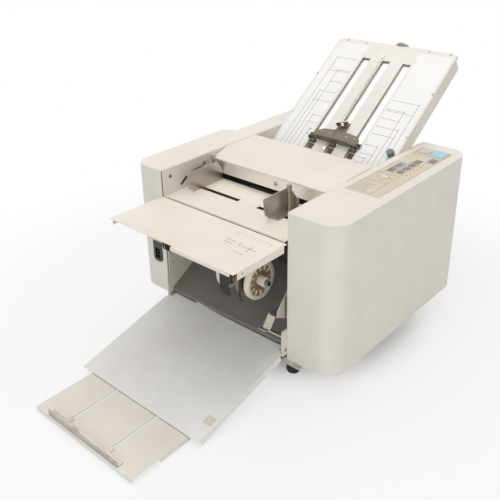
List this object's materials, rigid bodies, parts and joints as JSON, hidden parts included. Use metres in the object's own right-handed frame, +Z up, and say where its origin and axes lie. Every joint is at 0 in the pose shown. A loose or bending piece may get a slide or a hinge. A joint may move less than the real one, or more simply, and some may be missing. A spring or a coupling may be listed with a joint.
{
  "type": "paper folding machine",
  "caption": "Desktop friction-feed paper folding machine with feed table, folding rollers, raised fold plate, side covers with key panel and sloping delivery tray.",
  "frame": {"origin": "on the table top under the middle of the whole machine (bottom centre of its bounding box)", "axes": "+X to the right across the paper path seen from the feed side, +Y from the delivery tray to the raised fold plate, +Z up"},
  "size_m": [0.54, 1.0624, 0.5694],
  "materials": {
    "cream_enamel": "cream textured powder coat",
    "cool_grey_enamel": "pale grey powder coat",
    "cream_plastic": "moulded cream plastic",
    "stainless": "brushed stainless sheet",
    "satin_panel": "satin metal panel",
    "plated_steel": "plated steel",
    "black_plastic": "black moulded plastic",
    "rubber": "black rubber",
    "roller_steel": "ground roller steel with nylon gear",
    "friction_rubber": "dark friction pad on steel carrier",
    "belt_rubber": "black belt",
    "bronze": "sintered bronze",
    "wheel_plastic": "cream nylon with tan webs",
    "dark_film": "black polyester film",
    "grey_sheet": "grey textured sheet",
    "plate_sheet": "off-white coat with scale panels",
    "bronze_coat": "bronze-brown coat",
    "motor_steel": "dark motor enamel",
    "panel_film": "beige polycarbonate overlay",
    "display": "liquid crystal window",
    "blue_key": "pale blue key",
    "pale_key": "pale grey key",
    "grey_key": "grey key",
    "cream_key": "cream arrow key",
    "board": "green circuit board"
  },
  "bodies": {
    "machine": {"left_side_frame": "cream_enamel", "right_side_frame": "cream_enamel", "chassis": "stainless", "foot_brackets": "cream_enamel", "rubber_feet": "rubber", "left_cover": "cream_plastic", "right_cover": "cream_plastic", "front_panel": "satin_panel", "rear_feed_table": "cream_enamel", "guide_rail": "stainless", "separator_pad": "friction_rubber", "bearing_bushes": "bronze", "motor": "motor_steel", "drive_belts": "belt_rubber", "delivery_hanger": "black_plastic", "film_strips": "dark_film", "delivery_chute": "grey_sheet", "exit_bracket": "stainless", "inner_panel": "black_plastic", "power_supply": "plated_steel", "fold_plate_sheet": "plate_sheet", "fold_plate_frame": "cream_enamel", "second_fold_plate": "cream_enamel", "circuit_board": "board", "control_panel": "panel_film", "display_window": "display", "mains_fittings": "black_plastic", "screws_and_pins": "plated_steel"},
    "top_lid": {"top_cover": "cream_enamel"},
    "table_flap": {"feed_table_flap": "cream_enamel"},
    "left_guide": {"left_side_guide": "stainless"},
    "right_guide": {"right_side_guide": "stainless"},
    "left_guide_screw": {"left_guide_knob": "plated_steel"},
    "right_guide_screw": {"right_guide_knob": "plated_steel"},
    "feed_drum": {"feed_roller": "rubber"},
    "roller_1": {"fold_roller_1": "roller_steel"},
    "roller_2": {"fold_roller_2": "roller_steel"},
    "roller_3": {"fold_roller_3": "roller_steel"},
    "roller_4": {"fold_roller_4": "roller_steel"},
    "motor_drive": {"motor_pulley": "black_plastic"},
    "delivery_drum": {"delivery_shaft": "roller_steel", "delivery_wheels": "wheel_plastic"},
    "tray": {"delivery_tray": "cool_grey_enamel"},
    "extension": {"tray_extension": "cream_enamel"},
    "paper_stop": {"end_stop": "stainless"},
    "plate_stop": {"fold_stop": "bronze_coat"},
    "plate_stop_screw": {"fold_stop_knob": "plated_steel"},
    "fine_adjuster": {"fine_adjust_knob": "black_plastic"},
    "plate_lock": {"plate_lock_knob": "grey_key"},
    "lower_stop": {"second_fold_stop": "bronze_coat"},
    "hand_drive": {"hand_wheel": "black_plastic"},
    "start_button": {"start_key": "blue_key"},
    "stop_button": {"stop_key": "pale_key"},
    "arrow_button": {"arrow_pad": "cream_key"},
    "button_1": {"key_1": "grey_key"},
    "button_2": {"key_2": "grey_key"},
    "button_3": {"key_3": "grey_key"},
    "button_4": {"key_4": "grey_key"},
    "button_5": {"key_5": "grey_key"},
    "rocker": {"power_switch": "black_plastic"}
  },
  "joints": [
    {"name": "roller_2_spin", "type": "hinge", "parent": "machine", "child": "roller_2", "pos_m": [-0.015, 0.11299, 0.28], "axis": [1, 0, 0], "continuous": true},
    {"name": "roller_1_spin", "type": "hinge", "parent": "machine", "child": "roller_1", "pos_m": [-0.015, 0.10799, 0.31161], "axis": [1, 0, 0], "continuous": true},
    {"name": "roller_3_spin", "type": "hinge", "parent": "machine", "child": "roller_3", "pos_m": [-0.015, 0.14343, 0.27011], "axis": [1, 0, 0], "continuous": true},
    {"name": "roller_4_spin", "type": "hinge", "parent": "machine", "child": "roller_4", "pos_m": [-0.015, 0.10799, 0.24839], "axis": [1, 0, 0], "continuous": true},
    {"name": "feed_spin", "type": "hinge", "parent": "machine", "child": "feed_drum", "pos_m": [-0.015, 0.03299, 0.348], "axis": [1, 0, 0], "continuous": true},
    {"name": "motor_spin", "type": "hinge", "parent": "machine", "child": "motor_drive", "pos_m": [-0.015, 0.00099, 0.15], "axis": [1, 0, 0], "continuous": true},
    {"name": "delivery_spin", "type": "hinge", "parent": "machine", "child": "delivery_drum", "pos_m": [-0.015, -0.14101, 0.216], "axis": [1, 0, 0], "continuous": true},
    {"name": "hand_wheel_spin", "type": "hinge", "parent": "machine", "child": "hand_drive", "pos_m": [-0.015, 0.19143, 0.27011], "axis": [1, 0, 0], "continuous": true},
    {"name": "top_lid_hinge", "type": "hinge", "parent": "machine", "child": "top_lid", "pos_m": [-0.015, 0.14799, 0.375], "axis": [-1, 0, 0], "range_deg": [0, 75]},
    {"name": "table_flap_hinge", "type": "hinge", "parent": "machine", "child": "table_flap", "pos_m": [-0.015, -0.15021, 0.3202], "axis": [-1, 0, 0], "range_deg": [0, 88]},
    {"name": "left_guide_slide", "type": "slide", "parent": "machine", "child": "left_guide", "axis": [1, 0, 0], "range_m": [-0.004, 0.08]},
    {"name": "right_guide_slide", "type": "slide", "parent": "machine", "child": "right_guide", "axis": [1, 0, 0], "range_m": [-0.05, 0.05]},
    {"name": "left_guide_screw_turn", "type": "hinge", "parent": "left_guide", "child": "left_guide_screw", "pos_m": [-0.162, -0.01001, 0.35], "axis": [0, 0, 1], "range_deg": [0, 180]},
    {"name": "right_guide_screw_turn", "type": "hinge", "parent": "right_guide", "child": "right_guide_screw", "pos_m": [0.077, -0.03701, 0.35], "axis": [0, 0, 1], "range_deg": [0, 180]},
    {"name": "tray_hinge", "type": "hinge", "parent": "machine", "child": "tray", "pos_m": [-0.015, -0.14301, 0.078], "axis": [-1, 0, 0], "range_deg": [0, 45]},
    {"name": "extension_slide", "type": "slide", "parent": "tray", "child": "extension", "axis": [0, 1, 0], "range_m": [0, 0.078]},
    {"name": "paper_stop_slide", "type": "slide", "parent": "extension", "child": "paper_stop", "axis": [0, 1, 0], "range_m": [0, 0.05]},
    {"name": "plate_stop_slide", "type": "slide", "parent": "machine", "child": "plate_stop", "axis": [0, 0.8121, 0.5835], "range_m": [-0.012, 0.2]},
    {"name": "plate_stop_screw_turn", "type": "hinge", "parent": "plate_stop", "child": "plate_stop_screw", "pos_m": [-0.015, 0.28404, 0.4079], "axis": [0, -0.5835, 0.8121], "range_deg": [0, 150]},
    {"name": "fine_adjuster_turn", "type": "hinge", "parent": "machine", "child": "fine_adjuster", "pos_m": [-0.003, 0.51387, 0.54904], "axis": [0, 0.8121, 0.5835], "continuous": true},
    {"name": "plate_lock_turn", "type": "hinge", "parent": "machine", "child": "plate_lock", "pos_m": [0.1377, 0.24912, 0.38281], "axis": [0, -0.5835, 0.8121], "range_deg": [0, 90]},
    {"name": "lower_stop_slide", "type": "slide", "parent": "machine", "child": "lower_stop", "axis": [0, 0.7431, -0.6691], "range_m": [-0.07, 0.06]},
    {"name": "start_press", "type": "slide", "parent": "machine", "child": "start_button", "axis": [0, 0, -1], "range_m": [0, 0.001], "stiffness_N_per_m": 300, "springref_m": -0.001},
    {"name": "stop_press", "type": "slide", "parent": "machine", "child": "stop_button", "axis": [0, 0, -1], "range_m": [0, 0.001], "stiffness_N_per_m": 300, "springref_m": -0.001},
    {"name": "arrow_press", "type": "slide", "parent": "machine", "child": "arrow_button", "axis": [0, 0, -1], "range_m": [0, 0.001], "stiffness_N_per_m": 300, "springref_m": -0.001},
    {"name": "key_1_press", "type": "slide", "parent": "machine", "child": "button_1", "axis": [0, 0, -1], "range_m": [0, 0.001], "stiffness_N_per_m": 300, "springref_m": -0.001},
    {"name": "key_2_press", "type": "slide", "parent": "machine", "child": "button_2", "axis": [0, 0, -1], "range_m": [0, 0.001], "stiffness_N_per_m": 300, "springref_m": -0.001},
    {"name": "key_3_press", "type": "slide", "parent": "machine", "child": "button_3", "axis": [0, 0, -1], "range_m": [0, 0.001], "stiffness_N_per_m": 300, "springref_m": -0.001},
    {"name": "key_4_press", "type": "slide", "parent": "machine", "child": "button_4", "axis": [0, 0, -1], "range_m": [0, 0.001], "stiffness_N_per_m": 300, "springref_m": -0.001},
    {"name": "key_5_press", "type": "slide", "parent": "machine", "child": "button_5", "axis": [0, 0, -1], "range_m": [0, 0.001], "stiffness_N_per_m": 300, "springref_m": -0.001},
    {"name": "rocker_tilt", "type": "hinge", "parent": "machine", "child": "rocker", "pos_m": [-0.211, 0.35699, 0.15], "axis": [1, 0, 0], "range_deg": [-6, 6]}
  ],
  "couplings": [
    {"joint": "roller_1_spin", "follows": "roller_2_spin", "ratio": -1},
    {"joint": "roller_3_spin", "follows": "roller_2_spin", "ratio": -1},
    {"joint": "roller_4_spin", "follows": "roller_2_spin", "ratio": -1},
    {"joint": "feed_spin", "follows": "roller_2_spin", "ratio": -1},
    {"joint": "motor_spin", "follows": "roller_2_spin", "ratio": 2},
    {"joint": "delivery_spin", "follows": "roller_2_spin", "ratio": 0.5},
    {"joint": "hand_wheel_spin", "follows": "roller_2_spin", "ratio": 0.5}
  ]
}
